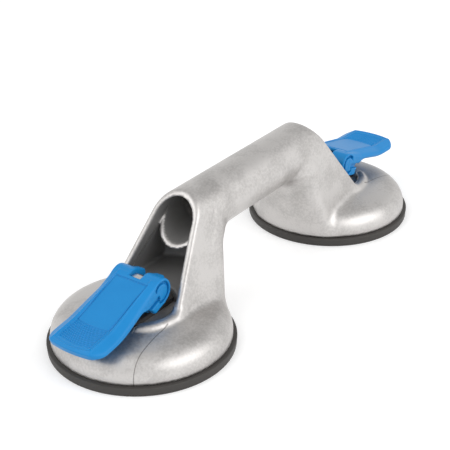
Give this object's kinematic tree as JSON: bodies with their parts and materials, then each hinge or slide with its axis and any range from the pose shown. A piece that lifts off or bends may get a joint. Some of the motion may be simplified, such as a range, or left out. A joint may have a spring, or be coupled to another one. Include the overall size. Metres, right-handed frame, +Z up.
{
  "type": "twin suction cup lifter",
  "caption": "Hand lifter for smooth slabs: a cast tube handle on two domed suction cups, each with a rubber disc and a hinged cam lever.",
  "frame": {"origin": "on the floor plane, midway between the two cup axes", "axes": "+X along the handle towards the rear cup, +Y across the handle, +Z up from the rubber discs to the handle"},
  "size_m": [0.3595, 0.12, 0.0876],
  "materials": {
    "cast_aluminium": "satin",
    "rubber": "matte",
    "bush_plastic": "matte",
    "wear_plastic": "satin",
    "steel": "brushed",
    "spring_steel": "satin",
    "blue_plastic": "satin"
  },
  "bodies": {
    "handle": {"handle_casting": "cast_aluminium", "front_rubber_pad": "rubber", "front_guide_bush": "bush_plastic", "front_slide_plate": "wear_plastic", "front_release_spring": "spring_steel", "rear_rubber_pad": "rubber", "rear_guide_bush": "bush_plastic", "rear_slide_plate": "wear_plastic", "rear_release_spring": "spring_steel"},
    "front_stud_group": {"front_pull_stud": "steel", "front_pad_insert": "steel", "front_stud_nut": "steel", "front_pivot_pin": "steel"},
    "front_lever_body": {"front_lever": "blue_plastic"},
    "rear_stud_group": {"rear_pull_stud": "steel", "rear_pad_insert": "steel", "rear_stud_nut": "steel", "rear_pivot_pin": "steel"},
    "rear_lever_body": {"rear_lever": "blue_plastic"}
  },
  "joints": [
    {"name": "front_stud_slide", "type": "slide", "parent": "handle", "child": "front_stud_group", "axis": [0, 0, 1], "range_m": [-0.003, 0], "deforming": ["front_release_spring"]},
    {"name": "front_lever_swing", "type": "hinge", "parent": "front_stud_group", "child": "front_lever_body", "pos_m": [-0.112, 0, 0.042], "axis": [0, 1, 0], "range_deg": [0, 80]},
    {"name": "rear_stud_slide", "type": "slide", "parent": "handle", "child": "rear_stud_group", "axis": [0, 0, 1], "range_m": [-0.00278, 0.00022], "deforming": ["rear_release_spring"]},
    {"name": "rear_lever_swing", "type": "hinge", "parent": "rear_stud_group", "child": "rear_lever_body", "pos_m": [0.112, 0, 0.04177], "axis": [0, -1, 0], "range_deg": [-6, 74]}
  ],
  "couplings": [
    {"joint": "front_lever_swing", "follows": "front_stud_slide", "rad_per_m": -465.42},
    {"joint": "rear_lever_swing", "follows": "rear_stud_slide", "rad_per_m": -465.42}
  ]
}
